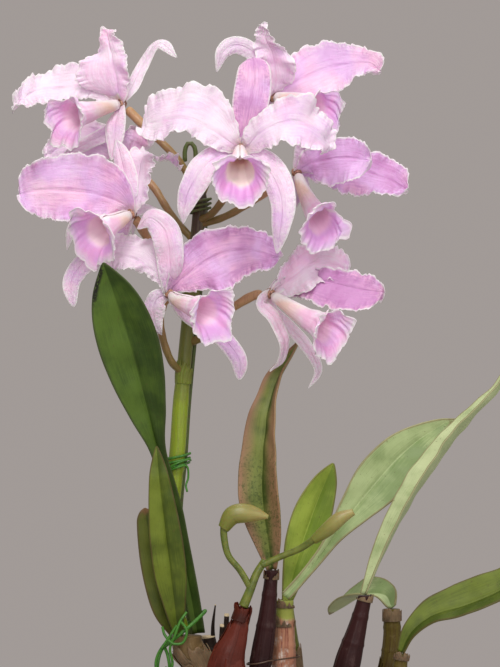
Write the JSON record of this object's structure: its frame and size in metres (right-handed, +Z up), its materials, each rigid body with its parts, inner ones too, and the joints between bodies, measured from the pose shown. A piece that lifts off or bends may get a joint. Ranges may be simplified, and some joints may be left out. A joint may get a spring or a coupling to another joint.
{
  "type": "cattleya orchid in a pot",
  "caption": "Cattleya orchid in a clay pot: pale lilac flowers with frilled lips on a staked stem, leathery leaves and slim bulbs in bark.",
  "frame": {"origin": "centre of the pot's underside, on the surface it stands on", "axes": "+Z up, -Y towards the viewer, +X to the viewer's right"},
  "size_m": [0.3246, 0.1661, 0.5559],
  "materials": {
    "petal": "soft matt, thin petals",
    "lip": "soft matt, thin petals",
    "stem": "smooth green and brown stem",
    "leaf": "satin, thick leathery leaf",
    "pale_leaf": "satin, pale green leaf",
    "bud": "satin, yellow-green bud",
    "papery_sheath": "dry papery brown sheath",
    "dark_bulb": "satin dark purple",
    "red_brown_sheath": "satin red-brown",
    "striped_bulb": "silvery sheath over a pink and green bulb",
    "green_bulb": "satin green",
    "root": "dry, matt, pale root",
    "wire": "green coated wire",
    "clay": "unglazed clay",
    "bark": "rough bark chips"
  },
  "bodies": {
    "root": {"pot": "clay", "bark": "bark", "rhizome_and_roots": "root", "flower_stem": "stem", "bud_spray": "bud", "stake": "wire", "tie_1": "wire", "tie_2": "wire", "tie_3": "wire", "tie_4": "wire", "bulb_papery": "papery_sheath", "bulb_cut_stump": "dark_bulb", "bulb_new_growth": "red_brown_sheath", "bulb_dark_middle": "dark_bulb", "bulb_striped": "striped_bulb", "bulb_back": "green_bulb", "bulb_dark_right": "dark_bulb", "bulb_brown_right": "papery_sheath", "bulb_low_right": "green_bulb", "leaf_tall_left": "leaf", "leaf_short_left": "leaf", "leaf_small_left": "leaf", "leaf_middle": "leaf", "leaf_back_right": "leaf", "leaf_far_right": "leaf", "leaf_low_right": "leaf", "leaf_pale_middle": "pale_leaf", "leaf_drooping": "pale_leaf", "bloom_upper_left": "petal", "bloom_upper_left_lip": "lip", "bloom_upper_right": "petal", "bloom_upper_right_lip": "lip", "bloom_centre": "petal", "bloom_centre_lip": "lip", "bloom_right": "petal", "bloom_right_lip": "lip", "bloom_left": "petal", "bloom_left_lip": "lip", "bloom_left_back": "petal", "bloom_left_back_lip": "lip", "bloom_lower_middle": "petal", "bloom_lower_middle_lip": "lip", "bloom_lower_right": "petal", "bloom_lower_right_lip": "lip"}
  },
  "joints": []
}
